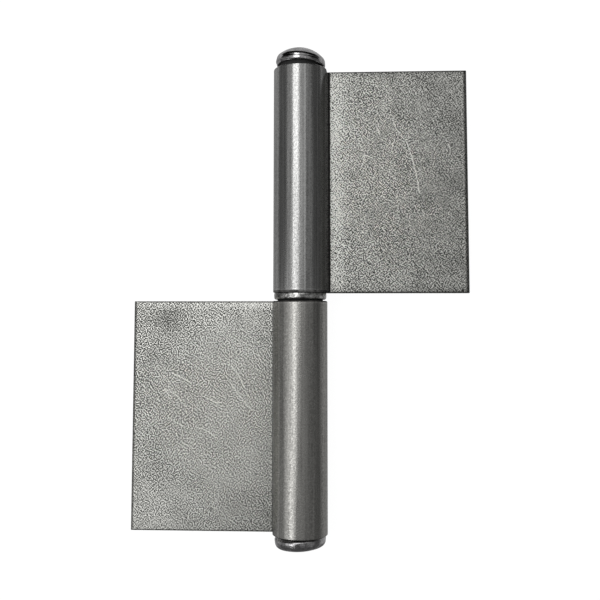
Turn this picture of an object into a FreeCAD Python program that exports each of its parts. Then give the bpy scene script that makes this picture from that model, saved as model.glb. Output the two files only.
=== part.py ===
import FreeCAD, Part
import math
import os

# Weld-on lift-off flag hinge in bare steel, opened flat.
# Each leaf is one piece of strip, joggled back and rolled round into an eye. The two leaves are the
# same part, the lower one turned end for end. A headed pin is pressed into the lower eye, the upper
# eye turns on it over a loose ring, and a domed plug closes the top of the upper eye.
# Frame: the origin is on the pin's axis, halfway between the tops of the two heads. +Z is up along
# the pin, +X is the upper leaf's side, and -Y is the front, where the eyes stand proud.

# Leaves, mm
strip_t = 3.0            # thickness of the strip
leaf_h = 67.0            # height of a leaf along the pin
leaf_reach = 50.0        # pin axis to the plate's free edge
bore_r = 5.0             # inside of the rolled eye
bend_r = 2.5             # inside radius of the joggle, behind the plate
plate_front = 1.5        # front face of the plate, behind the pin's axis
seam_gap = 0.25          # end of the rolled strip to the front of the plate
end_chamfer = 0.3        # outside edge at the outer end of the eye
knuckle_chamfer = 0.4    # outside edge at the end that is faced for the ring
front_chamfer = 0.45     # edge in front of the plate and in the bore
free_edge_round = 1.2    # front of the plate's free edge

# Pin, mm
pin_clearance = 0.05     # running fit in the upper eye, on the radius
press = 0.01             # press fit of the pin and the plug in their eyes, on the radius
tip_chamfer = 1.5        # lead-in on the pin's end
tip_clearance = 2.0      # pin's end to the plug's shank
plug_depth = 8.0         # plug's shank inside the upper eye

# Heads of the pin and the plug, mm and degrees
pin_head_inset = 0.6     # side of the head inside the eye's outline
pin_head_side = 2.5      # straight side
pin_head_dome = 1.5      # crown above the side
pin_head_neck = 0.5      # bare neck between the head and the eye
pin_head_lean = -1.2     # the crown was struck slightly askew
plug_head_inset = 0.55
plug_head_side = 2.15
plug_head_dome = 3.4
plug_head_neck = 1.4
plug_head_lean = 5.2
neck_land = 1.2          # width of the neck's seat on the eye's end
shoulder_round = 1.6     # where the side turns into the crown
underside_chamfer = 0.5  # lower edge of the side

# Ring between the eyes, mm
ring_t = 1.9             # flange of the ring
ring_inset = 0.3         # outside of the flange inside the eye's outline
ring_clearance = 0.15    # on the pin, on the radius
ring_chamfer = 0.5       # outer edges
boss_h = 0.4             # boss under the flange, which rides on the lower eye
boss_inset = 1.0         # outside of the boss inside the flange's
face_clearance = 0.05    # between the ring and each eye

# Worked out from the sizes above
tiny = 1e-6
eye_r = bore_r + strip_t
eye_gap = boss_h + ring_t + 2 * face_clearance
plug_reach = plug_head_neck + plug_head_side + plug_head_dome
pin_reach = pin_head_neck + pin_head_side + pin_head_dome
middle_z = (pin_reach - plug_reach) / 2
lower_top_z = middle_z - eye_gap / 2
upper_bottom_z = middle_z + eye_gap / 2
upper_top_z = upper_bottom_z + leaf_h
lower_bottom_z = lower_top_z - leaf_h
pin_tip_z = upper_top_z - plug_depth - tip_clearance


def vec(x, y, z=0.0):
    return FreeCAD.Vector(x, y, z)


def line(start, end):
    return Part.LineSegment(start, end).toShape()


def on_circle(centre, radius, angle):
    return vec(centre.x + radius * math.cos(angle), centre.y + radius * math.sin(angle))


def arc(centre, radius, start, end):
    points = [on_circle(centre, radius, angle) for angle in (start, (start + end) / 2, end)]
    return Part.Arc(*points).toShape()


def turned(outline):
    """Solid turned about the pin's axis from (radius, z) edges drawn in the XY plane."""
    face = Part.Face(Part.Wire(outline))
    face.rotate(vec(0, 0), vec(1, 0), 90)
    return face.revolve(vec(0, 0), vec(0, 0, 1), 360)


def within(size, wall):
    """A rounding or chamfer that leaves some of its wall flat."""
    return min(size, 0.45 * wall)


def rims(solid, radius, z):
    """Edges at this height and this distance from the pin's axis."""
    found = []
    for edge in solid.Edges:
        middle = edge.valueAt((edge.FirstParameter + edge.LastParameter) / 2)
        if abs(middle.z - z) < tiny and abs(math.hypot(middle.x, middle.y) - radius) < tiny:
            found.append(edge)
    return found


def leaf_section():
    """The strip seen along the pin: plate towards +X, joggle, then the eye round to its seam."""
    axis = vec(0, 0)
    plate_back = plate_front + strip_t
    bend_y = plate_back + bend_r
    bend_x = math.sqrt((eye_r + bend_r) ** 2 - bend_y ** 2)
    bend = vec(bend_x, bend_y)
    join = math.atan2(bend_y, bend_x)
    seam = 2 * math.pi + math.asin((plate_front - seam_gap) / eye_r)
    ahead = -math.pi / 2
    corner = vec(leaf_reach - free_edge_round, plate_front + free_edge_round)
    return Part.Wire([
        line(vec(corner.x, plate_front), vec(bend_x, plate_front)),
        arc(bend, bend_r + strip_t, ahead, join - math.pi),
        arc(axis, bore_r, join, seam),
        line(on_circle(axis, bore_r, seam), on_circle(axis, eye_r, seam)),
        arc(axis, eye_r, seam, join),
        arc(bend, bend_r, join - math.pi, ahead),
        line(vec(bend_x, plate_back), vec(leaf_reach, plate_back)),
        line(vec(leaf_reach, plate_back), vec(leaf_reach, corner.y)),
        arc(corner, free_edge_round, 0, ahead),
    ])


def make_leaf():
    """Leaf with its plate towards +X and its knuckle end at z = 0."""
    leaf = Part.Face(leaf_section()).extrude(vec(0, 0, leaf_h))
    # each edge runs on from the eye's rim along the joggle and the plate
    for z, outside in ((leaf_h, end_chamfer), (0, knuckle_chamfer)):
        leaf = leaf.makeChamfer(within(outside, strip_t), rims(leaf, eye_r, z))
        leaf = leaf.makeChamfer(within(front_chamfer, strip_t), rims(leaf, bore_r, z))
    return leaf


def make_head(radius, side, dome, lean):
    """Domed head with a flat underside at z = 0, its crown leaning towards +X."""
    crown_r = (radius ** 2 + dome ** 2) / (2 * dome)
    crown = vec(0, side + dome - crown_r)
    inset = radius - shoulder_round
    shoulder = vec(inset, crown.y + math.sqrt((crown_r - shoulder_round) ** 2 - inset ** 2))
    join = math.atan2(shoulder.y - crown.y, inset)
    head = turned([
        line(vec(0, -side), vec(radius, -side)),
        line(vec(radius, -side), vec(radius, shoulder.y)),
        arc(shoulder, shoulder_round, 0, join),
        arc(crown, crown_r, join, math.pi / 2),
        line(vec(0, side + dome), vec(0, -side)),
    ])
    head.rotate(vec(0, 0), vec(0, 1), lean)
    below = Part.makeBox(4 * radius, 4 * radius, 4 * side, vec(-2 * radius, -2 * radius, -4 * side))
    head = head.cut(below)
    underside = [edge for edge in head.Edges if edge.BoundBox.ZMax < tiny]
    return head.makeChamfer(within(underside_chamfer, side), underside)


def make_neck(z, length):
    return Part.makeCylinder(bore_r + neck_land, length, vec(0, 0, z))


def make_pin():
    """Head below the lower eye, a stretch pressed into it, and a running stretch above."""
    pin_r = bore_r - pin_clearance
    seat_r = bore_r + press
    underside = lower_bottom_z - pin_head_neck
    root = underside - pin_head_side / 2
    shank = turned([
        line(vec(0, root), vec(seat_r, root)),
        line(vec(seat_r, root), vec(seat_r, lower_top_z)),
        line(vec(seat_r, lower_top_z), vec(pin_r, lower_top_z)),
        line(vec(pin_r, lower_top_z), vec(pin_r, pin_tip_z - tip_chamfer)),
        line(vec(pin_r, pin_tip_z - tip_chamfer), vec(pin_r - tip_chamfer, pin_tip_z)),
        line(vec(pin_r - tip_chamfer, pin_tip_z), vec(0, pin_tip_z)),
        line(vec(0, pin_tip_z), vec(0, root)),
    ])
    head = make_head(eye_r - pin_head_inset, pin_head_side, pin_head_dome, pin_head_lean)
    head.rotate(vec(0, 0), vec(0, 1), 180)
    head.translate(vec(0, 0, underside))
    return shank.fuse([make_neck(underside, pin_head_neck), head]).removeSplitter()


def make_plug():
    """Domed plug whose shank is pressed into the top of the upper eye."""
    seat_r = bore_r + press
    underside = upper_top_z + plug_head_neck
    shank_z = upper_top_z - plug_depth
    shank = Part.makeCylinder(seat_r, underside + plug_head_side / 2 - shank_z, vec(0, 0, shank_z))
    head = make_head(eye_r - plug_head_inset, plug_head_side, plug_head_dome, plug_head_lean)
    head.translate(vec(0, 0, underside))
    return shank.fuse([make_neck(upper_top_z, plug_head_neck), head]).removeSplitter()


def make_ring():
    """Flanged ring that lies on the lower eye."""
    foot = lower_top_z + face_clearance
    flange_z = foot + boss_h
    top = flange_z + ring_t
    inner_r = bore_r + ring_clearance
    outer_r = eye_r - ring_inset
    boss_r = outer_r - boss_inset
    chamfer = within(ring_chamfer, ring_t)
    corners = [
        (inner_r, foot), (boss_r, foot), (boss_r, flange_z), (outer_r - chamfer, flange_z),
        (outer_r, flange_z + chamfer), (outer_r, top - chamfer), (outer_r - chamfer, top), (inner_r, top),
    ]
    points = [vec(radius, z) for radius, z in corners]
    return turned([line(a, b) for a, b in zip(points, points[1:] + points[:1])])


def place_leaves():
    """The upper leaf, and the same part turned end for end for the lower one."""
    upper = make_leaf()
    lower = upper.copy()
    lower.rotate(vec(0, 0), vec(0, 1), 180)
    lower.translate(vec(0, 0, lower_top_z))
    upper.translate(vec(0, 0, upper_bottom_z))
    return lower, upper


lower_leaf, upper_leaf = place_leaves()
pieces = {
    "lower_leaf": lower_leaf,
    "pin": make_pin(),
    "thrust_ring": make_ring(),
    "upper_leaf": upper_leaf,
    "top_plug": make_plug(),
}
os.makedirs("parts", exist_ok=True)
for name, shape in pieces.items():
    shape.exportStep(f"parts/{name}.step")
    box = shape.BoundBox
    print(f"{name:12} solids {len(shape.Solids)} valid {shape.isValid()} volume {shape.Volume:8.1f}",
          f"z {box.ZMin:.2f} to {box.ZMax:.2f}")
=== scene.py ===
import bpy
import math
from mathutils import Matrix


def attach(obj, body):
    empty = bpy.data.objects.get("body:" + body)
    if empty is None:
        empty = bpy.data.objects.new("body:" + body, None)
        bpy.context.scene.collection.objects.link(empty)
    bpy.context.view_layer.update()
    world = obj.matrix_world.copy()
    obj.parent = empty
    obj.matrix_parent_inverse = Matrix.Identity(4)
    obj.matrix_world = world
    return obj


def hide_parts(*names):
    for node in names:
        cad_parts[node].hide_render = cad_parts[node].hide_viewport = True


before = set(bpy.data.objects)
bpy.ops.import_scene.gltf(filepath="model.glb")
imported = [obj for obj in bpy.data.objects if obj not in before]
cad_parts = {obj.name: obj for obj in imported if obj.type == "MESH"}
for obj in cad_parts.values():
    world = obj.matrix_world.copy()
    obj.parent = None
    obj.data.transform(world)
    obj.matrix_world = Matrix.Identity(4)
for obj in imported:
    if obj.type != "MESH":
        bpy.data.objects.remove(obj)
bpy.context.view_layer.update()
print("frame loaded, nodes:", ", ".join(sorted(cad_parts)))

near = 1e-5  # points closer than this count as one


def deselectAll():
    if bpy.context.mode != "OBJECT":
        bpy.ops.object.mode_set(mode="OBJECT")
    bpy.ops.object.select_all(action="DESELECT")


def selectOnly(piece):
    deselectAll()
    piece.select_set(True)
    bpy.context.view_layer.objects.active = piece


def pickVertices(piece, test):
    # edit mode, with only the vertices selected that pass the test
    selectOnly(piece)
    bpy.ops.object.mode_set(mode="EDIT")
    bpy.ops.mesh.select_mode(type="VERT")
    bpy.ops.mesh.select_all(action="DESELECT")
    bpy.ops.object.mode_set(mode="OBJECT")
    for v in piece.data.vertices:
        v.select = bool(test(v.co))
    bpy.ops.object.mode_set(mode="EDIT")


def closeMesh():
    # edit mode: weld what was spun or turned, then point the faces outwards
    bpy.ops.mesh.select_all(action="SELECT")
    bpy.ops.mesh.remove_doubles(threshold=1e-6)
    bpy.ops.mesh.normals_make_consistent(inside=False)


def applyBevel(piece, width, steps):
    # rounds the edges by their bevel weights
    selectOnly(piece)
    bevel = piece.modifiers.new("roundedEdges", "BEVEL")
    bevel.limit_method = "WEIGHT"
    bevel.width = width
    bevel.segments = steps
    bevel.use_clamp_overlap = False
    bpy.ops.object.modifier_apply(modifier=bevel.name)


def weighEdges(piece, weigh):
    # weigh(a, b) gives the bevel weight of the edge between two points
    weights = piece.data.attributes.new("bevel_weight_edge", "FLOAT", "EDGE")
    points = piece.data.vertices
    for edge in piece.data.edges:
        a, b = (points[i].co for i in edge.vertices)
        weights.data[edge.index].value = weigh(a, b)


def smoothShade(piece, angle):
    selectOnly(piece)
    bpy.ops.object.shade_smooth_by_angle(angle=math.radians(angle))


def turnRings(name, rings, sides, tube=False):
    # one circle after another, each extruded from the last and scaled to its radius
    deselectAll()
    radius, z = rings[0]
    bpy.ops.mesh.primitive_circle_add(
        vertices=sides, radius=radius, fill_type="NOTHING" if tube else "NGON", location=(0, 0, z))
    piece = bpy.context.object
    piece.name = name
    bpy.ops.object.transform_apply(location=True, rotation=True, scale=True)
    bpy.ops.object.mode_set(mode="EDIT")
    bpy.ops.mesh.select_mode(type="EDGE" if tube else "FACE")
    bpy.ops.mesh.select_all(action="SELECT")
    for nextRadius, nextZ in rings[1:] + (rings[:1] if tube else []):
        bpy.ops.mesh.extrude_region_move(TRANSFORM_OT_translate={"value": (0, 0, nextZ - z)})
        grow = nextRadius / radius
        bpy.ops.transform.resize(value=(grow, grow, 1), center_override=(0, 0, nextZ))
        radius, z = nextRadius, nextZ
    closeMesh()
    bpy.ops.object.mode_set(mode="OBJECT")
    return piece


# The camera stands where the photograph was taken from.
view = {
    "place": (0.0124, -0.2473, -0.00893),
    "pitch": 4.854,
    "yaw": 2.8873,
    "roll": -0.046,
    "focalPixels": 838.15,
    "shiftPixels": -47.99,
    "picturePixels": 600,
    "sensor": 36,
}


def makeCamera(s):
    deselectAll()
    turn = (math.radians(90 + s["pitch"]), math.radians(s["roll"]), math.radians(s["yaw"]))
    bpy.ops.object.camera_add(location=s["place"], rotation=turn)
    camera = bpy.context.object
    camera.name = "photoCamera"
    camera.data.sensor_width = s["sensor"]
    camera.data.lens = s["focalPixels"] / s["picturePixels"] * s["sensor"]
    camera.data.shift_y = s["shiftPixels"] / s["picturePixels"]
    camera.data.clip_start = 0.01
    bpy.context.scene.camera = camera


makeCamera(view)
print("camera set")


# Leaves: one strip, rolled, joggled and cut, and the same again turned end for end.
leaf = {
    "height": 0.067,
    "reach": 0.050,          # pin's axis to the free edge
    "thickness": 0.003,
    "bore": 0.005,
    "plateFront": 0.0015,    # front of the plate, behind the pin's axis
    "joggle": 0.0025,        # inside radius of the bend behind the plate
    "seamGap": 0.00025,      # the strip's end stays this far off the plate
    "upperFoot": -0.000025,  # heights of the two faced ends
    "lowerFoot": -0.002425,
    "eyeSteps": 80,
    "joggleSteps": 14,
    "edgeSteps": 4,
    "hold": 0.0008,          # loops this far from the ends keep the long faces flat
    "widestEdge": 0.0012,    # rounding of an edge whose weight is 1
    "freeFrontEdge": 1.0,
    "rolledBackEdge": 0.16,
    "facedBackEdge": 0.34,
    "frontEdge": 0.36,
    "cutEdge": 0.2,
    "smoothBelow": 28,       # degrees between faces that shade as one
}


def makeLeaf(s):
    # starts as the strip's end at the seam, goes round the eye, back through the joggle and out
    outer = s["bore"] + s["thickness"]
    bendY = s["plateFront"] + s["thickness"] + s["joggle"]
    bendX = math.sqrt((outer + s["joggle"]) ** 2 - bendY ** 2)
    join = math.atan2(bendY, bendX)
    seam = math.asin((s["plateFront"] - s["seamGap"]) / outer)
    middle = s["bore"] + s["thickness"] / 2
    deselectAll()
    bpy.ops.mesh.primitive_plane_add(
        size=1, rotation=(math.pi / 2, 0, seam),
        location=(middle * math.cos(seam), middle * math.sin(seam), s["height"] / 2))
    piece = bpy.context.object
    piece.scale = (s["thickness"], s["height"], 1)
    bpy.ops.object.transform_apply(location=True, rotation=True, scale=True)
    bpy.ops.object.mode_set(mode="EDIT")
    bpy.ops.mesh.select_mode(type="FACE")
    bpy.ops.mesh.select_all(action="SELECT")
    bpy.ops.mesh.spin(
        steps=s["eyeSteps"], angle=2 * math.pi + seam - join, center=(0, 0, 0), axis=(0, 0, 1))
    bpy.ops.mesh.spin(
        steps=s["joggleSteps"], angle=math.pi / 2 - join, center=(bendX, bendY, 0), axis=(0, 0, -1))
    bpy.ops.mesh.extrude_region_move(TRANSFORM_OT_translate={"value": (s["reach"] - bendX, 0, 0)})
    closeMesh()
    for height in (s["hold"], s["height"] - s["hold"]):
        bpy.ops.mesh.select_all(action="SELECT")
        bpy.ops.mesh.bisect(plane_co=(0, 0, height), plane_no=(0, 0, 1))
    for reach in (bendX + s["hold"], s["reach"] - s["widestEdge"] - s["hold"] / 2):
        bpy.ops.mesh.select_all(action="SELECT")
        bpy.ops.mesh.bisect(plane_co=(reach, 0, 0), plane_no=(1, 0, 0))
    bpy.ops.object.mode_set(mode="OBJECT")

    backY = s["plateFront"] + s["thickness"]

    def outside(p):
        # on the outside of the eye, behind the joggle or on the plate's back
        onFront = p.x > bendX - near and p.y < backY - near
        return math.hypot(p.x, p.y) > outer - near and not onFront

    def atSeam(p):
        return abs(math.atan2(p.y, p.x) - seam) < 1e-3

    def weigh(a, b):
        free = min(a.x, b.x) > s["reach"] - near
        cut = free or (atSeam(a) and atSeam(b))
        if abs(a.z - b.z) > near:
            if free and a.y < backY - near:
                return s["freeFrontEdge"]
            return s["cutEdge"] if cut else 0
        if outside(a) != outside(b):
            return s["cutEdge"] if cut else 0
        if not outside(a):
            return s["frontEdge"]
        return s["rolledBackEdge"] if a.z > s["height"] - near else s["facedBackEdge"]

    weighEdges(piece, weigh)
    applyBevel(piece, s["widestEdge"], s["edgeSteps"])
    smoothShade(piece, s["smoothBelow"])
    return piece


def placeLeaves(s):
    upper = makeLeaf(s)
    upper.name = "upperLeafSteel"
    lower = upper.copy()
    lower.data = upper.data.copy()
    lower.name = "lowerLeafSteel"
    bpy.context.collection.objects.link(lower)
    upper.location.z = s["upperFoot"]
    lower.location.z = s["lowerFoot"]
    lower.rotation_euler.y = math.pi
    for piece in (upper, lower):
        selectOnly(piece)
        bpy.ops.object.transform_apply(location=True, rotation=True, scale=True)
    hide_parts("upper_leaf")
    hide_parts("lower_leaf")
    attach(upper, "upper")
    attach(lower, "lower")
    return upper, lower


upperLeaf, lowerLeaf = placeLeaves(leaf)
print("leaves rolled")


def crownRings(radius, sideTop, dome, shoulder, steps):
    # rings of a domed crown, with a rounded shoulder where it meets the side
    ball = (radius ** 2 + dome ** 2) / (2 * dome)
    centreZ = sideTop + dome - ball
    inset = radius - shoulder
    shoulderZ = centreZ + math.sqrt((ball - shoulder) ** 2 - inset ** 2)
    meet = math.atan2(shoulderZ - centreZ, inset)
    rings = []
    for i in range(steps + 1):
        turn = meet * i / steps
        rings.append((inset + shoulder * math.cos(turn), shoulderZ + shoulder * math.sin(turn)))
    for i in range(1, steps):
        turn = meet + (math.pi / 2 - meet) * i / steps
        rings.append((ball * math.cos(turn), centreZ + ball * math.sin(turn)))
    return rings


# Plug: a shank pressed into the top of the upper eye, a neck and a domed head struck a bit askew.
plug = {
    "seat": 0.00501,
    "shankChamfer": 0.0004,
    "shankFoot": 0.058975,
    "eyeTop": 0.066975,
    "neck": 0.0062,
    "underside": 0.068575,
    "radius": 0.00745,
    "side": 0.00195,
    "dome": 0.00326,
    "shoulder": 0.0016,
    "rim": 0.00035,          # rounding under the head
    "drawIn": 0.00012,       # the side curves in towards the crown
    "lean": 5.2,             # degrees
    "sides": 112,
    "rimSteps": 4,
    "sideSteps": 5,
    "crownSteps": 12,
    "smoothBelow": 35,
}


def headRings(s, z):
    # neck, rounded underside, side and crown, all above z
    radius, rim = s["radius"], s["rim"]
    rings = [(s["neck"], z), (radius - rim, z)]
    for i in range(1, s["rimSteps"] + 1):
        turn = math.pi / 2 * i / s["rimSteps"]
        rings.append((radius - rim * (1 - math.sin(turn)), z + rim * (1 - math.cos(turn))))
    crown = crownRings(
        radius - s["drawIn"], z + s["side"], s["dome"], s["shoulder"], s["crownSteps"])
    straight = crown[0][1] - z - rim
    for i in range(1, s["sideSteps"]):
        up = i / s["sideSteps"]
        rings.append((radius - s["drawIn"] * up ** 3, z + rim + straight * up))
    return rings + crown


def leanHead(piece, z, degrees, above):
    # the underside stays flat on its neck while the rest leans
    pickVertices(piece, lambda p: (p.z - z) * above > near)
    bpy.ops.transform.rotate(
        value=-math.radians(degrees), orient_axis="Y", center_override=(0, 0, z))
    bpy.ops.object.mode_set(mode="OBJECT")


def makePlug(s):
    shank = [(s["seat"] - s["shankChamfer"], s["shankFoot"]),
             (s["seat"], s["shankFoot"] + s["shankChamfer"]),
             (s["seat"], s["eyeTop"]), (s["neck"], s["eyeTop"])]
    piece = turnRings("plugSteel", shank + headRings(s, s["underside"]), s["sides"])
    leanHead(piece, s["underside"], s["lean"], 1)
    smoothShade(piece, s["smoothBelow"])
    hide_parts("top_plug")
    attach(piece, "upper")
    return piece


plugPiece = makePlug(plug)

# Pin: its head hangs below the lower eye. Its shank fills that eye and runs on in the upper one.
pin = {
    "run": 0.00495,          # radius in the upper eye
    "seat": 0.00501,         # and in the lower one, where it is pressed in
    "tip": 0.056975,
    "tipChamfer": 0.0015,
    "lowerEyeTop": -0.002425,
    "eyeFoot": -0.069425,
    "neck": 0.0062,
    "underside": -0.069925,
    "radius": 0.0074,
    "side": 0.0025,
    "dome": 0.0015,
    "shoulder": 0.0016,
    "rim": 0.0005,
    "drawIn": 0.00006,
    "lean": -3.5,
    "sides": 112,
    "rimSteps": 4,
    "sideSteps": 5,
    "crownSteps": 12,
    "smoothBelow": 35,
}


def makePin(s):
    head = [(r, 2 * s["underside"] - z) for r, z in headRings(s, s["underside"])]
    shank = [(s["neck"], s["eyeFoot"]), (s["seat"], s["eyeFoot"]), (s["seat"], s["lowerEyeTop"]),
             (s["run"], s["lowerEyeTop"]), (s["run"], s["tip"] - s["tipChamfer"]),
             (s["run"] - s["tipChamfer"], s["tip"])]
    piece = turnRings("pinSteel", head[::-1] + shank, s["sides"])
    leanHead(piece, s["underside"], s["lean"], -1)
    smoothShade(piece, s["smoothBelow"])
    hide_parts("pin")
    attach(piece, "lower")
    return piece


pinPiece = makePin(pin)
print("pin and plug turned")

# Ring: loose on the pin, its outside worn convex, with a boss below that rides on the lower eye.
ring = {
    "foot": -0.002375,
    "bossHeight": 0.0004,
    "bossRadius": 0.0067,
    "thickness": 0.0019,
    "bore": 0.00515,
    "radius": 0.0077,
    "wornAbove": (0.00022, 8),  # depth at the rim, and how late it sets in
    "wornBelow": (0.0004, 4),
    "bulgeSteps": 12,
    "sides": 112,
    "smoothBelow": 50,
}


def makeRing(s):
    half = s["thickness"] / 2
    flange = s["foot"] + s["bossHeight"]
    middle = flange + half
    rings = [(s["bore"], s["foot"]), (s["bossRadius"], s["foot"]), (s["bossRadius"], flange)]
    for i in range(s["bulgeSteps"] + 1):
        up = math.sin(math.pi * (i / s["bulgeSteps"] - 0.5))
        wear, power = s["wornBelow"] if up < 0 else s["wornAbove"]
        rings.append((s["radius"] - wear * up ** power, middle + half * up))
    rings.append((s["bore"], flange + s["thickness"]))
    piece = turnRings("ringSteel", rings, s["sides"], tube=True)
    smoothShade(piece, s["smoothBelow"])
    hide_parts("thrust_ring")
    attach(piece, "ring")
    return piece


ringPiece = makeRing(ring)
print("ring turned")


# Materials, from short functions for the nodes that they use most
def addNode(tree, kind, settings=None, **inputs):
    # inputs by name, with _ for a space, or by number as at0; a socket is linked and a value is set
    made = tree.nodes.new(kind)
    for name, value in (settings or {}).items():
        setattr(made, name, value)
    for name, value in inputs.items():
        which = int(name[2:]) if name.startswith("at") else name.replace("_", " ")
        socket = made.inputs[which]
        if isinstance(value, bpy.types.NodeSocket):
            tree.links.new(value, socket)
        else:
            socket.default_value = value
    return made


def maths(tree, what, a, b=0.0, clamp=False):
    settings = {"operation": what, "use_clamp": clamp}
    return addNode(tree, "ShaderNodeMath", settings, at0=a, at1=b).outputs[0]


def plus(tree, first, *others):
    for other in others:
        first = maths(tree, "ADD", first, other)
    return first


def times(tree, first, *others):
    for other in others:
        first = maths(tree, "MULTIPLY", first, other)
    return first


def minus(tree, a, b, clamp=False):
    return maths(tree, "SUBTRACT", a, b, clamp)


def apart(tree, a, b):
    return maths(tree, "ABSOLUTE", minus(tree, a, b))


def vectors(tree, what, a, b=(0, 0, 0), out="Vector"):
    return addNode(tree, "ShaderNodeVectorMath", {"operation": what}, at0=a, at1=b).outputs[out]


def fit(tree, value, low, high, toLow=0.0, toHigh=1.0, soft=False):
    settings = {"interpolation_type": "SMOOTHSTEP"} if soft else {}
    return addNode(tree, "ShaderNodeMapRange", settings, Value=value, From_Min=low, From_Max=high,
                   To_Min=toLow, To_Max=toHigh).outputs[0]


def noise(tree, place, scale, detail=2.0, rough=0.5, warp=0.0):
    return addNode(tree, "ShaderNodeTexNoise", Vector=place, Scale=scale, Detail=detail,
                   Roughness=rough, Distortion=warp).outputs[0]


def blend(tree, share, a, b):
    return addNode(tree, "ShaderNodeMix", {"data_type": "RGBA"}, at0=share, at6=a, at7=b).outputs[2]


def blendValue(tree, share, a, b):
    return addNode(tree, "ShaderNodeMix", at0=share, at2=a, at3=b).outputs[0]


def newGroup(name, inputs, outputs):
    tree = bpy.data.node_groups.new(name, "ShaderNodeTree")
    kinds = {"value": "NodeSocketFloat", "vector": "NodeSocketVector"}
    for label, kind in inputs.items():
        tree.interface.new_socket(label, in_out="INPUT", socket_type=kinds[kind])
    for label in outputs:
        tree.interface.new_socket(label, in_out="OUTPUT", socket_type="NodeSocketFloat")
    given = tree.nodes.new("NodeGroupInput").outputs
    return tree, given, tree.nodes.new("NodeGroupOutput").inputs


def useGroup(tree, group, **inputs):
    return addNode(tree, "ShaderNodeGroup", {"node_tree": group}, **inputs).outputs


# Patterns: a range is the part of the noise that runs from 0 to 1.
grainPattern = {
    "lean": (0.7, 0.4),      # moves it sideways with depth, against streaks on the cut faces
    "cells": 2.2,            # noise cells to a grain
    "range": (-0.12, 0.12),
    "stray": 0.35,           # single spots that are darker or lighter
    "strayRange": (0.3, 0.7),
    "mottleRange": (0.32, 0.68),
}
scratchPattern = {
    "core": 0.25,            # full strength this far out from the middle, as a share of the width
    "breaks": 900.0,
    "breakRange": (0.3, 0.46),
}
drawnPattern = {
    "lineRange": (0.3, 0.7),
    "speckRange": (0.35, 0.65),
}


def makeGrain(s):
    # pickled strip: even grain of one size, light and dark, on a slow mottle
    inputs = {"Vector": "vector", "Grain": "value", "Mottle": "value"}
    tree, given, out = newGroup("stripGrain", inputs, ["Grain", "Mottle"])
    where = addNode(tree, "ShaderNodeSeparateXYZ", Vector=given["Vector"]).outputs
    across = plus(tree, where["X"], times(tree, where["Y"], s["lean"][0]))
    along = plus(tree, where["Z"], times(tree, where["Y"], s["lean"][1]))
    step = maths(tree, "DIVIDE", 0.5, given["Grain"])
    size = times(tree, given["Grain"], s["cells"])
    # one pattern less its own shifted copies keeps the fine grain and drops the coarse
    shifts = ((across, along), (plus(tree, across, step), along), (across, plus(tree, along, step)))
    parts = []
    for x, z in shifts:
        spot = addNode(tree, "ShaderNodeCombineXYZ", at0=x, at1=z).outputs[0]
        parts.append(addNode(tree, "ShaderNodeTexNoise", {"noise_dimensions": "2D"}, Vector=spot,
                             Scale=size, Detail=0.0).outputs[0])
    copies = times(tree, plus(tree, parts[1], parts[2]), 0.5)
    even = fit(tree, minus(tree, parts[0], copies), *s["range"])
    spots = noise(tree, given["Vector"], size, detail=0.0)
    stray = fit(tree, spots, *s["strayRange"], -s["stray"], s["stray"])
    tree.links.new(plus(tree, even, stray), out["Grain"])
    slow = noise(tree, given["Vector"], given["Mottle"], detail=3.0, rough=0.55, warp=0.3)
    tree.links.new(fit(tree, slow, *s["mottleRange"]), out["Mottle"])
    return tree


def makeScratch(s):
    # one hair scratch from Start to End in the plate's plane, bowed sideways
    inputs = {"Vector": "vector", "Start": "vector", "End": "vector",
              "Bow": "value", "Width": "value"}
    tree, given, out = newGroup("hairScratch", inputs, ["Mask"])
    fromStart = vectors(tree, "SUBTRACT", given["Vector"], given["Start"])
    whole = vectors(tree, "SUBTRACT", given["End"], given["Start"])
    along = maths(tree, "DIVIDE", vectors(tree, "DOT_PRODUCT", fromStart, whole, "Value"),
                  vectors(tree, "DOT_PRODUCT", whole, whole, "Value"), clamp=True)
    nearest = addNode(tree, "ShaderNodeVectorMath", {"operation": "SCALE"}, at0=whole, Scale=along)
    sideways = vectors(tree, "NORMALIZE", vectors(tree, "CROSS_PRODUCT", whole, (0, 1, 0)))
    belly = times(tree, along, minus(tree, 1.0, along), 4.0)
    bowed = addNode(tree, "ShaderNodeVectorMath", {"operation": "SCALE"}, at0=sideways,
                    Scale=times(tree, belly, given["Bow"]))
    line = vectors(tree, "ADD", nearest.outputs[0], bowed.outputs[0])
    away = vectors(tree, "DISTANCE", fromStart, line, "Value")
    widths = maths(tree, "DIVIDE", away, given["Width"])
    mask = fit(tree, widths, s["core"], 1.0, 1.0, 0.0, soft=True)
    breaks = noise(tree, given["Vector"], s["breaks"], rough=0.6)
    tree.links.new(times(tree, mask, fit(tree, breaks, *s["breakRange"])), out["Mask"])
    return tree


def makeDrawn(s):
    # lines that the forming dies left along the eye, and fine specks between them
    inputs = {"Vector": "vector", "Lines": "value", "Stretch": "value", "Specks": "value"}
    tree, given, out = newGroup("drawnLines", inputs, ["Lines", "Specks"])
    long = addNode(tree, "ShaderNodeCombineXYZ", at0=1.0, at1=1.0, at2=given["Stretch"]).outputs[0]
    stretched = vectors(tree, "MULTIPLY", given["Vector"], long)
    drawn = noise(tree, stretched, given["Lines"], detail=4.0, rough=0.7)
    tree.links.new(fit(tree, drawn, *s["lineRange"]), out["Lines"])
    speck = noise(tree, given["Vector"], given["Specks"], detail=1.5, rough=0.6, warp=0.4)
    tree.links.new(fit(tree, speck, *s["speckRange"]), out["Specks"])
    return tree


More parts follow.
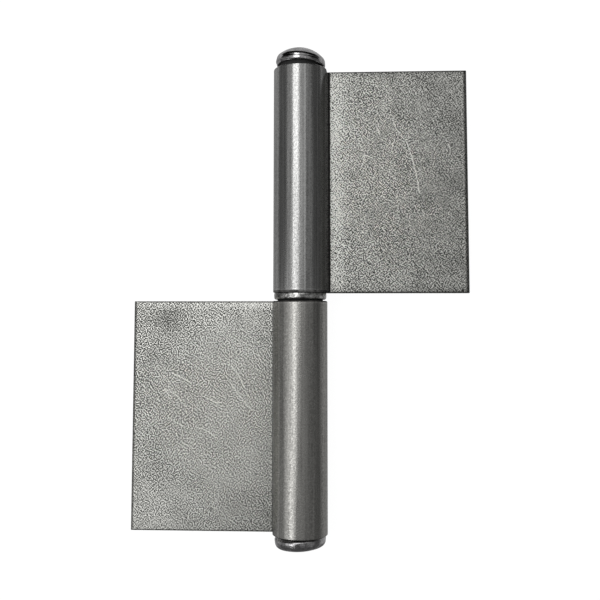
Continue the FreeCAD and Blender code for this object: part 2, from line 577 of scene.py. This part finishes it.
def makePits():
    # a few dark pits, one in some of the cells
    inputs = {"Vector": "vector", "Cells": "value", "Size": "value", "Share": "value"}
    tree, given, out = newGroup("strayPits", inputs, ["Mask"])
    cells = addNode(tree, "ShaderNodeTexVoronoi", {"feature": "F1"}, Vector=given["Vector"],
                    Scale=given["Cells"]).outputs
    chosen = addNode(tree, "ShaderNodeSeparateColor", at0=cells["Color"]).outputs[0]
    some = maths(tree, "LESS_THAN", chosen, given["Share"])
    sizes = maths(tree, "DIVIDE", cells["Distance"], given["Size"])
    tree.links.new(times(tree, some, fit(tree, sizes, 0.5, 1.0, 1.0, 0.0)), out["Mask"])
    return tree


stripGrain = makeGrain(grainPattern)
hairScratch = makeScratch(scratchPattern)
drawnLines = makeDrawn(drawnPattern)
strayPits = makePits()


def newMaterial(name):
    material = bpy.data.materials.new(name)
    material.use_nodes = True
    tree = material.node_tree
    shader = tree.nodes["Principled BSDF"]
    shader.inputs["Metallic"].default_value = 1.0  # for viewers that don't read the nodes
    place = tree.nodes.new("ShaderNodeTexCoord").outputs["Object"]
    return material, tree, shader, place


def joinSteel(tree, shader, s, color, rough, height, dirty):
    # bare steel, with matt dirt and painted shade where the dirt-and-shade mask is 1
    tree.links.new(blend(tree, dirty, color, s["dirtAndShade"]), shader.inputs["Base Color"])
    tree.links.new(minus(tree, 1.0, dirty), shader.inputs["Metallic"])
    tree.links.new(blendValue(tree, dirty, rough, s["dirtAndShadeRough"]), shader.inputs["Roughness"])
    bump = addNode(tree, "ShaderNodeBump", Strength=s["bump"], Distance=s["bumpDepth"],
                   Height=height)
    tree.links.new(bump.outputs[0], shader.inputs["Normal"])


def dress(piece, material):
    piece.data.materials.clear()
    piece.data.materials.append(material)


# Bare strip: a matt, pitted plate and an eye burnished by the rolls. Places are in the leaf's own
# metres, from its knuckle end up, from the pin's axis out and from there back. A pair of them is
# where a change starts and where it is complete.
leafFinish = {
    "onEye": (0.00803, 0.0085),          # the eye's finish ends this far from the pin's axis
    "inFront": (0.0016, 0.0022),         # and the front's ends this far back
    "grain": 1260.0,
    "mottle": 150.0,
    "mottleDepth": 0.07,
    "clusters": 110.0,                   # patches of weaker and stronger grain
    "clusterRange": (0.35, 0.65),
    "clusterDepth": (0.72, 1.28),
    "calmRange": (0.3, 1.0),
    "calmLeft": 0.6,                     # share of the grain that stays where it fades
    "plateDark": (0.08, 0.083, 0.076, 1),
    "plateLight": (1.0, 1.0, 0.95, 1),
    "plateRough": (0.56, 0.44),          # of the darkest and the lightest grain
    "besideEye": (0.009, 0.015),
    "towardsEdge": (0.015, 0.045),
    "towardsFar": (0.030, 0.062),
    "lighterEnd": (0.0007, 0.0030),       # a bright band along the knuckle end
    "lighterEndFades": (0.010, 0.028),         # where that band weakens
    "lighterEndShare": 0.5,                   # and to which share
    "glint": (0.0486, 0.0004),           # place and half width of the painted glint line beside the free edge
    "scratchTone": 0.8,
    "pits": {"Cells": 230.0, "Size": 0.11, "Share": 0.07},
    "pitTone": 0.6,
    "edgeRound": (0.0489, 0.0493),
    "cutLine": (0.0001, 0.0004),         # painted shade: a dark line along the cut end's round
    "besideCut": (0.0, 0.0022),
    "shade": (0.005, 0.005, 0.005, 1),
    "endFace": (0.00002, 0.00006),       # depth of the sheared faces' finish
    "edgeFace": (0.04994, 0.04998),
    "tears": 1300.0,                     # torn steel, drawn through the thickness
    "tearStretch": (1, 0.08, 1),
    "tearRange": (0.3, 0.7),
    "tornTone": (0.25, 0.5),
    "burnish": (0.0024, 0.0029),         # the shear's smooth band in front of it
    "burnishTone": 0.14,
    "eyeLight": 0.68,
    "eyeDark": 0.24,
    "lines": 1000.0,
    "stretch": 0.02,
    "specks": 1900.0,
    "lineShare": 0.62,
    "speckShare": 0.38,
    "dieLineGlintBack": (-0.001, 0.0),        # the painted glints along the die lines are in front only
    "dieLineGlintCore": 0.3,
    "seamSide": (0.0060, 0.0079),        # painted shade: the eye darkens here, beside the plate
    "seamFade": 0.0002,
    "rimFade": 0.00015,
    "rimPatches": 450.0,
    "rimRange": (0.35, 0.65),
    "rimGlint": 0.0003,                  # painted glint: a bright line over the dark rim
    "rimGlintTone": 0.3,
    "lineHeight": 0.25,
    "bump": 0.35,
    "bumpDepth": 0.00006,
    "dirtAndShade": (0.012, 0.011, 0.01, 1),
    "dirtAndShadeRough": 0.8,
}
upperMarks = {
    "turned": False,
    "seed": (0.3, 0.1, 0.7),
    "tone": 0.475,
    "depth": 0.95,                       # contrast of the grain
    "calm": (23, 0, 0),                  # the grain fades this way
    "depthByTheEye": 1.7,
    "paintedLightAndShadeByTheEye": 0.52,                    # painted light, bounced off the eye onto the plate beside it
    "byTheEdge": -0.09,
    "paintedLightByTheFar": 0.0,
    "byTheEnd": 0.0,
    "edgeGlint": 0.15,
    "freeEdge": 0.5,                     # painted shade on the edge's round: what is left of the colour there
    "nearShade": (0.3, 0.74),            # painted shade on the knuckle end's edge and beside it
    "farShade": (0.05, 0.7),             # and at the other end
    "eyeTint": (1.0, 1.0, 0.985),
    "eyeRough": (0.28, 0.17),            # between the specks and on them
    "speckHeight": 0.32,
    "seamShade": 0.15,                   # painted shade: what is left of the eye's colour beside the plate
    "seamReach": 0.0090,                 # dirt and painted shade in the seam, out to here
    "rimDirtAndShade": 0.0006,                   # height of the dirt and painted shade on the rim at the faced end
    "rimCover": 0.55,
    "dieLineGlints": [(0.00534, 0.00016, 0.5), (0.00173, 0.00024, 0.7)],     # out, width, strength
    "patches": [                         # place, reach, change of tone
        ((0.047, 0.065), 0.012, 0.08),
        ((0.014, 0.048), 0.012, 0.05),
    ],
    "scratches": [                       # start, end, bow, width
        ((0.0276, 0.0526), (0.0316, 0.0455), -0.0006, 0.00020),
        ((0.0316, 0.0458), (0.0354, 0.0298), 0.0005, 0.00028),
        ((0.0228, 0.0499), (0.0237, 0.0471), 0.0002, 0.00022),
        ((0.0182, 0.0380), (0.0191, 0.0414), -0.0003, 0.00022),
        ((0.0191, 0.0414), (0.0215, 0.0404), 0.0001, 0.00022),
        ((0.0275, 0.0422), (0.0284, 0.0459), 0.0004, 0.00020),
        ((0.0434, 0.0457), (0.0448, 0.0427), 0.0002, 0.00020),
    ],
}
lowerMarks = {
    "turned": True,
    "seed": (1.9, 0.4, 0.2),
    "tone": 0.53,
    "depth": 0.94,
    "calm": (0, 0, 12),
    "depthByTheEye": 1.0,
    # painted shade on the plate beside the eye
    "paintedLightAndShadeByTheEye": -0.08,
    "byTheEdge": -0.1,
    # painted light, brighter towards the far end
    "paintedLightByTheFar": 0.09,
    "byTheEnd": 0.5,
    "edgeGlint": 0.0,
    "freeEdge": 0.6,
    "nearShade": (0.6, 0.97),
    "farShade": (0.6, 0.97),
    "eyeTint": (1.0, 0.985, 0.94),
    "eyeRough": (0.36, 0.25),
    "speckHeight": 0.36,
    "seamShade": 0.36,
    "seamReach": 0.0084,
    "rimDirtAndShade": 0.00032,
    "rimCover": 0.85,
    "dieLineGlints": [(0.00583, 0.00016, 0.35)],
    "patches": [
        ((0.050, 0.001), 0.010, -0.1),
        ((0.039, 0.0045), 0.008, -0.17),
        # painted shade in the corner by the eye at the far end
        ((0.009, 0.067), 0.024, -0.17),
        ((0.048, 0.064), 0.020, 0.07),
    ],
    "scratches": [
        ((0.0380, 0.0214), (0.0322, 0.0246), 0.0003, 0.00020),
        ((0.0215, 0.0180), (0.0167, 0.0251), 0.0004, 0.00020),
        ((0.0203, 0.0245), (0.0143, 0.0320), -0.0003, 0.00022),
        ((0.0309, 0.0371), (0.0249, 0.0402), 0.0006, 0.00020),
        ((0.0403, 0.0264), (0.0382, 0.0287), 0.0001, 0.00020),
        ((0.0274, 0.0286), (0.0232, 0.0298), -0.0005, 0.00020),
        ((0.0404, 0.0261), (0.0357, 0.0291), 0.0005, 0.00018),
        ((0.0390, 0.0342), (0.0342, 0.0368), -0.0004, 0.00020),
    ],
}


def leafPlaces(tree, place, s, marks):
    # where a point lies on its leaf
    own = addNode(tree, "ShaderNodeMapping", Vector=place)
    if marks["turned"]:
        own.inputs["Rotation"].default_value = (0, math.pi, 0)
        own.inputs["Location"].default_value = (0, 0, leaf["lowerFoot"])
    else:
        own.inputs["Location"].default_value = (0, 0, -leaf["upperFoot"])
    own = own.outputs[0]
    where = addNode(tree, "ShaderNodeSeparateXYZ", Vector=own).outputs
    fromPin = vectors(tree, "LENGTH", vectors(tree, "MULTIPLY", own, (1, 1, 0)), out="Value")
    return {
        "own": own,
        "flat": vectors(tree, "MULTIPLY", own, (1, 0, 1)),
        "seeded": vectors(tree, "ADD", own, marks["seed"]),
        "out": where["X"],
        "back": where["Y"],
        "up": where["Z"],
        "toFar": minus(tree, leaf["height"], where["Z"]),
        "onEye": fit(tree, fromPin, *s["onEye"], 1.0, 0.0, soft=True),
        "inFront": fit(tree, where["Y"], *s["inFront"], 1.0, 0.0),
    }


def scratchMask(tree, at, marks):
    deepest = 0.0
    for (x1, z1), (x2, z2), bow, width in marks["scratches"]:
        scratch = useGroup(tree, hairScratch, Vector=at["flat"], Start=(x1, 0, z1), End=(x2, 0, z2),
                           Bow=bow, Width=width)["Mask"]
        deepest = maths(tree, "MAXIMUM", scratch, deepest)
    return times(tree, deepest, at["inFront"])


def plateTone(tree, at, grain, s, marks):
    # 0 is dark and 1 is light: grain on the mottle, bands by place (some painted light and shade),
    #                           a painted glint, patches, scratches and pits
    out, up = at["out"], at["up"]
    fading = vectors(tree, "DOT_PRODUCT", at["own"], marks["calm"], "Value")
    clusters = noise(tree, at["seeded"], s["clusters"])
    depth = times(
        tree, fit(tree, fading, *s["calmRange"], marks["depth"], s["calmLeft"] * marks["depth"]),
        fit(tree, out, *s["besideEye"], marks["depthByTheEye"], 1.0),
        fit(tree, clusters, *s["clusterRange"], *s["clusterDepth"]))
    lowest, highest = marks["tone"] - s["mottleDepth"], marks["tone"] + s["mottleDepth"]
    rubbed = times(tree, fit(tree, out, *s["lighterEndFades"], 1.0, s["lighterEndShare"]), marks["byTheEnd"])
    glintOut, glintWidth = s["glint"]
    tone = plus(
        tree, times(tree, minus(tree, grain["Grain"], 0.5), depth),
        fit(tree, grain["Mottle"], 0, 1, lowest, highest),
        fit(tree, out, *s["besideEye"], marks["paintedLightAndShadeByTheEye"], 0.0, soft=True),
        fit(tree, out, *s["towardsEdge"], 0.0, marks["byTheEdge"]),
        times(tree, fit(tree, up, *s["lighterEnd"], 1.0, 0.0), rubbed),
        fit(tree, apart(tree, out, glintOut), 0.0, glintWidth, marks["edgeGlint"], 0.0),
        fit(tree, up, *s["towardsFar"], 0.0, marks["paintedLightByTheFar"]))
    for (x, z), reach, change in marks["patches"]:
        away = vectors(tree, "DISTANCE", at["flat"], (x, 0, z), "Value")
        tone = plus(tree, tone, fit(tree, away, 0.0, reach, change, 0.0, soft=True))
    tone = plus(tree, tone, times(tree, scratchMask(tree, at, marks), s["scratchTone"]))
    pits = useGroup(tree, strayPits, Vector=at["seeded"], **s["pits"])["Mask"]
    return minus(tree, tone, times(tree, pits, s["pitTone"]), clamp=True)


def plateColor(tree, at, tone, s, marks):
    # painted shade on the rounds of the free edge and the cut ends, and beside the cut ends
    shade = fit(tree, at["out"], *s["edgeRound"], 1.0, marks["freeEdge"])
    for end, (onEdge, beside) in (("up", marks["nearShade"]), ("toFar", marks["farShade"])):
        shade = times(tree, shade, fit(tree, at[end], *s["cutLine"], onEdge, 1.0),
                      fit(tree, at[end], *s["besideCut"], beside, 1.0))
    face = blend(tree, shade, s["shade"], blend(tree, tone, s["plateDark"], s["plateLight"]))
    # the sheared faces: a burnished band in front, torn steel behind
    toEnd = maths(tree, "MINIMUM", at["up"], at["toFar"])
    sheared = maths(tree, "MAXIMUM", fit(tree, toEnd, *s["endFace"], 1.0, 0.0),
                    fit(tree, at["out"], *s["edgeFace"]))
    through = vectors(tree, "MULTIPLY", at["seeded"], s["tearStretch"])
    tears = noise(tree, through, s["tears"], rough=0.6)
    torn = plus(tree, fit(tree, tears, *s["tearRange"], *s["tornTone"]),
                fit(tree, at["back"], *s["burnish"], s["burnishTone"], 0.0))
    return blend(tree, sheared, face, blend(tree, torn, s["plateDark"], s["plateLight"]))


def eyeColor(tree, at, drawn, s, marks):
    # lines that the rolls left, painted glints along die lines and over the rim, and painted shade
    # on the side towards the plate
    tone = plus(tree, times(tree, drawn["Lines"], s["lineShare"]),
                times(tree, drawn["Specks"], s["speckShare"]))
    inFront = fit(tree, at["back"], *s["dieLineGlintBack"], 1.0, 0.0)
    for out, width, strength in marks["dieLineGlints"]:
        away = apart(tree, at["out"], out)
        line = fit(tree, away, s["dieLineGlintCore"] * width, width, strength, 0.0)
        tone = plus(tree, tone, times(tree, inFront, line))
    overRim = apart(tree, at["up"], marks["rimDirtAndShade"] + s["rimGlint"])
    glint = fit(tree, overRim, 0.0, s["rimGlint"], s["rimGlintTone"], 0.0)
    tone = maths(tree, "ADD", tone, glint, clamp=True)
    dark = [s["eyeDark"] * part for part in marks["eyeTint"]] + [1]
    light = [s["eyeLight"] * part for part in marks["eyeTint"]] + [1]
    side = times(tree, fit(tree, at["out"], *s["seamSide"], soft=True), at["inFront"])
    shade = fit(tree, side, 0, 1, 1.0, marks["seamShade"])
    return blend(tree, shade, s["shade"], blend(tree, tone, dark, light))


def leafDirt(tree, at, s, marks):
    # dirt and painted shade in the seam beside the plate, and on the rim of the faced end
    reach, rim = marks["seamReach"], marks["rimDirtAndShade"]
    inSeam = times(tree, at["inFront"],
                   fit(tree, at["out"], reach - s["seamFade"], reach, 1.0, 0.0),
                   minus(tree, 1.0, at["onEye"]))
    patches = noise(tree, at["seeded"], s["rimPatches"])
    onRim = times(tree, at["onEye"], fit(tree, at["up"], rim, rim + s["rimFade"], 1.0, 0.0),
                  fit(tree, patches, *s["rimRange"], marks["rimCover"], 1.0))
    return maths(tree, "MAXIMUM", inSeam, onRim)


def leafSteel(name, s, marks):
    material, tree, shader, place = newMaterial(name)
    at = leafPlaces(tree, place, s, marks)
    grain = useGroup(tree, stripGrain, Vector=at["seeded"], Grain=s["grain"], Mottle=s["mottle"])
    drawn = useGroup(tree, drawnLines, Vector=at["seeded"], Lines=s["lines"], Stretch=s["stretch"],
                     Specks=s["specks"])
    tone = plateTone(tree, at, grain, s, marks)
    color = blend(tree, at["onEye"], plateColor(tree, at, tone, s, marks),
                  eyeColor(tree, at, drawn, s, marks))
    rough = blendValue(tree, at["onEye"], fit(tree, tone, 0, 1, *s["plateRough"]),
                       fit(tree, drawn["Specks"], 0, 1, *marks["eyeRough"]))
    eyeHeight = plus(tree, times(tree, drawn["Lines"], s["lineHeight"]),
                     times(tree, drawn["Specks"], marks["speckHeight"]))
    height = blendValue(tree, at["onEye"], grain["Grain"], eyeHeight)
    joinSteel(tree, shader, s, color, rough, height, leafDirt(tree, at, s, marks))
    return material


# Turned and struck steel: heads and ring, darker and smoother, with dirt and painted shade in the
# grooves.
headFinish = {
    "lines": 500.0,
    "stretch": 1.0,
    "specks": 1900.0,
    "lineShare": 0.7,
    "speckShare": 0.3,
    "evenness": 0.4,
    "dark": (0.24, 0.235, 0.24, 1),
    "light": (0.9, 0.89, 0.9, 1),
    "rough": (0.2, 0.1),                 # of the dark and the light
    "bump": 0.15,
    "bumpDepth": 0.00008,
    "dirtAndShade": (0.03, 0.03, 0.03, 1),
    "dirtAndShadeRough": 0.8,
    "grooveRadius": (0.0067, 0.0069),
    "grooveMiddle": 0.0685,
    "grooveHalf": 0.0015,
    "stains": [],
    "stainColor": (0.01, 0.01, 0.01, 1),
    "stainCore": 0.3,
}
ringFinish = {
    **headFinish,
    "evenness": 0.22,
    "dark": (0.2, 0.2, 0.195, 1),
    "light": (0.9, 0.9, 0.88, 1),
    "rough": (0.38, 0.28),
    "bump": 0.5,
    "dirtAndShade": (0.01, 0.01, 0.01, 1),
    "grooveRadius": (0.00715, 0.00735),
    "grooveMiddle": 0.0022,
    "grooveHalf": 0.00032,
    "stains": [                          # place, reach, what is left of the colour
        ((-0.0057, -0.0052, -0.0004), 0.0018, 0.35),
        ((0.0012, -0.0076, -0.0017), 0.0012, 0.4),
    ],
}


def turnedSteel(name, s, seed):
    material, tree, shader, place = newMaterial(name)
    seeded = vectors(tree, "ADD", place, seed)
    drawn = useGroup(tree, drawnLines, Vector=seeded, Lines=s["lines"], Stretch=s["stretch"],
                     Specks=s["specks"])
    mixed = plus(tree, times(tree, drawn["Lines"], s["lineShare"]),
                 times(tree, drawn["Specks"], s["speckShare"]))
    tone = fit(tree, mixed, 0.5 - s["evenness"], 0.5 + s["evenness"])
    color = blend(tree, tone, s["dark"], s["light"])
    for spot, reach, left in s["stains"]:
        away = vectors(tree, "DISTANCE", place, spot, "Value")
        stain = fit(tree, away, s["stainCore"] * reach, reach, left, 1.0)
        color = blend(tree, stain, s["stainColor"], color)
    fromPin = vectors(tree, "LENGTH", vectors(tree, "MULTIPLY", place, (1, 1, 0)), out="Value")
    where = addNode(tree, "ShaderNodeSeparateXYZ", Vector=place).outputs
    level = addNode(tree, "ShaderNodeMath", {"operation": "COMPARE"},
                    at0=maths(tree, "ABSOLUTE", where["Z"]), at1=s["grooveMiddle"],
                    at2=s["grooveHalf"]).outputs[0]
    # dirt and painted shade in the grooves under the heads and beside the ring's boss
    inGroove = times(tree, level, fit(tree, fromPin, *s["grooveRadius"], 1.0, 0.0))
    rough = fit(tree, tone, 0, 1, *s["rough"])
    joinSteel(tree, shader, s, color, rough, tone, inGroove)
    return material


dress(upperLeaf, leafSteel("upperLeafBare", leafFinish, upperMarks))
dress(lowerLeaf, leafSteel("lowerLeafBare", leafFinish, lowerMarks))
headSteel = turnedSteel("headBare", headFinish, (0.1, 0.2, 0.3))
dress(plugPiece, headSteel)
dress(pinPiece, headSteel)
dress(ringPiece, turnedSteel("ringBare", ringFinish, (0.5, 0.2, 0.1)))
print("materials made")


# The white paper behind the hinge, seen by the camera only.
paper = {"size": 3.0, "behind": 0.0082, "glow": 0.95, "tone": 0.15}


def makePaper(s):
    deselectAll()
    bpy.ops.mesh.primitive_plane_add(
        size=s["size"], location=(0, s["behind"], 0), rotation=(math.pi / 2, 0, 0))
    piece = bpy.context.object
    piece.name = "paper"
    bpy.ops.object.transform_apply(location=True, rotation=True, scale=True)
    material = bpy.data.materials.new("whitePaper")
    material.use_nodes = True
    tree = material.node_tree
    tree.nodes.clear()
    path = addNode(tree, "ShaderNodeLightPath")
    side = addNode(tree, "ShaderNodeNewGeometry")
    glow = addNode(tree, "ShaderNodeEmission", Strength=s["glow"])
    tone = addNode(tree, "ShaderNodeBsdfDiffuse", Color=(s["tone"],) * 3 + (1,))
    both = addNode(tree, "ShaderNodeAddShader", at0=glow.outputs[0], at1=tone.outputs[0])
    through = addNode(tree, "ShaderNodeBsdfTransparent")
    seen = addNode(tree, "ShaderNodeMixShader", at0=path.outputs["Is Camera Ray"],
                   at1=through.outputs[0], at2=both.outputs[0])
    oneSided = addNode(tree, "ShaderNodeMixShader", at0=side.outputs["Backfacing"],
                       at1=seen.outputs[0], at2=through.outputs[0])
    out = addNode(tree, "ShaderNodeOutputMaterial")
    tree.links.new(oneSided.outputs[0], out.inputs["Surface"])
    piece.data.materials.append(material)


makePaper(paper)

# Lamps stand in front, mostly to the left. Turn is degrees round the pin from the camera's side,
# + to the right; height is the middle's. The window is lower and further left for the lower eye.
lamps = {
    "windowTop": {"turn": -16.2, "height": 0.2765, "size": (0.265, 0.507), "light": 1.95},
    "windowMiddle": {"turn": -21.0, "height": -0.046, "size": (0.22, 0.138), "light": 1.8},
    "windowLow": {"turn": -26.0, "height": -0.1375, "size": (0.24, 0.045), "light": 1.5},
    "windowFoot": {"turn": -34.3, "height": -0.255, "size": (0.26, 0.19), "light": 1.4},
    "wideTop": {"turn": -43, "height": 0.2115, "size": (0.26, 0.377), "light": 0.32},
    "wideFoot": {"turn": -50, "height": -0.16, "size": (0.34, 0.366), "light": 0.5},
    "wallTop": {"turn": -84, "height": 0.2115, "size": (0.5, 0.377), "light": 0.03},
    "wallFoot": {"turn": -84, "height": -0.16, "size": (0.5, 0.366), "light": 0.15},
    "softTop": {"turn": 13, "height": 0.2115, "size": (0.31, 0.377), "light": 0.36},
    "softFoot": {"turn": 11, "height": -0.16, "size": (0.31, 0.366), "light": 0.16},
    "rightTop": {"turn": 42, "height": 0.2115, "size": (0.27, 0.377), "light": 0.14},
    "rightFoot": {"turn": 50, "height": -0.16, "size": (0.4, 0.366), "light": 0.09},
}
lampsAway = 0.6
# What the steel mirrors. Heights and ways are parts of the direction it looks in, from -1 to 1.
surroundings = {
    "front": 0.08,
    "above": 0.25,
    "overhead": 0.0,
    "tableLow": 0.15,
    "table": 0.32,
    "tableHigh": 0.42,
    "around": 0.3,                       # what lights it evenly
    "tableLowEnds": (-0.45, -0.28),      # by height
    "tableHighStarts": (0.28, 0.45),
    "aboveStarts": (0.36, 0.46),
    "aboveEnds": (-0.66, -0.6),          # by way, from the camera's side to behind the hinge
    "frontEnds": (0.18, 0.22),
}


def makeLamps(lamps, away):
    for name, lamp in lamps.items():
        turn = math.radians(lamp["turn"])
        place = (math.sin(turn) * away, -math.cos(turn) * away, lamp["height"])
        deselectAll()
        bpy.ops.object.light_add(type="AREA", location=place, rotation=(math.pi / 2, 0, turn))
        piece = bpy.context.object
        piece.name = name
        piece.data.shape = "RECTANGLE"
        piece.data.size, piece.data.size_y = lamp["size"]
        piece.data.energy = lamp["light"] * math.pi * lamp["size"][0] * lamp["size"][1]
        piece.visible_camera = False


def makeWorld(s):
    world = bpy.data.worlds.new("whiteRoom")
    bpy.context.scene.world = world
    world.use_nodes = True
    tree = world.node_tree
    tree.nodes.clear()
    path = addNode(tree, "ShaderNodeLightPath").outputs
    way = addNode(tree, "ShaderNodeTexCoord").outputs["Generated"]
    split = addNode(tree, "ShaderNodeSeparateXYZ", Vector=way).outputs
    table = plus(tree, fit(tree, split["Z"], *s["tableLowEnds"], s["tableLow"], s["table"]),
                 fit(tree, split["Z"], *s["tableHighStarts"], 0.0, s["tableHigh"] - s["table"]))
    above = blendValue(tree, fit(tree, split["Y"], *s["aboveEnds"]), s["above"], s["overhead"])
    front = blendValue(tree, fit(tree, split["Z"], *s["aboveStarts"]), s["front"], above)
    mirrored = blendValue(tree, fit(tree, split["Y"], *s["frontEnds"]), front, table)
    others = blendValue(tree, path["Is Glossy Ray"], s["around"], mirrored)
    strength = blendValue(tree, path["Is Camera Ray"], others, 1.0)
    background = addNode(tree, "ShaderNodeBackground", Color=(1, 1, 1, 1), Strength=strength)
    out = addNode(tree, "ShaderNodeOutputWorld")
    tree.links.new(background.outputs[0], out.inputs["Surface"])


makeLamps(lamps, lampsAway)
makeWorld(surroundings)
bpy.context.scene.view_settings.view_transform = "Standard"
print("lamps and paper set")
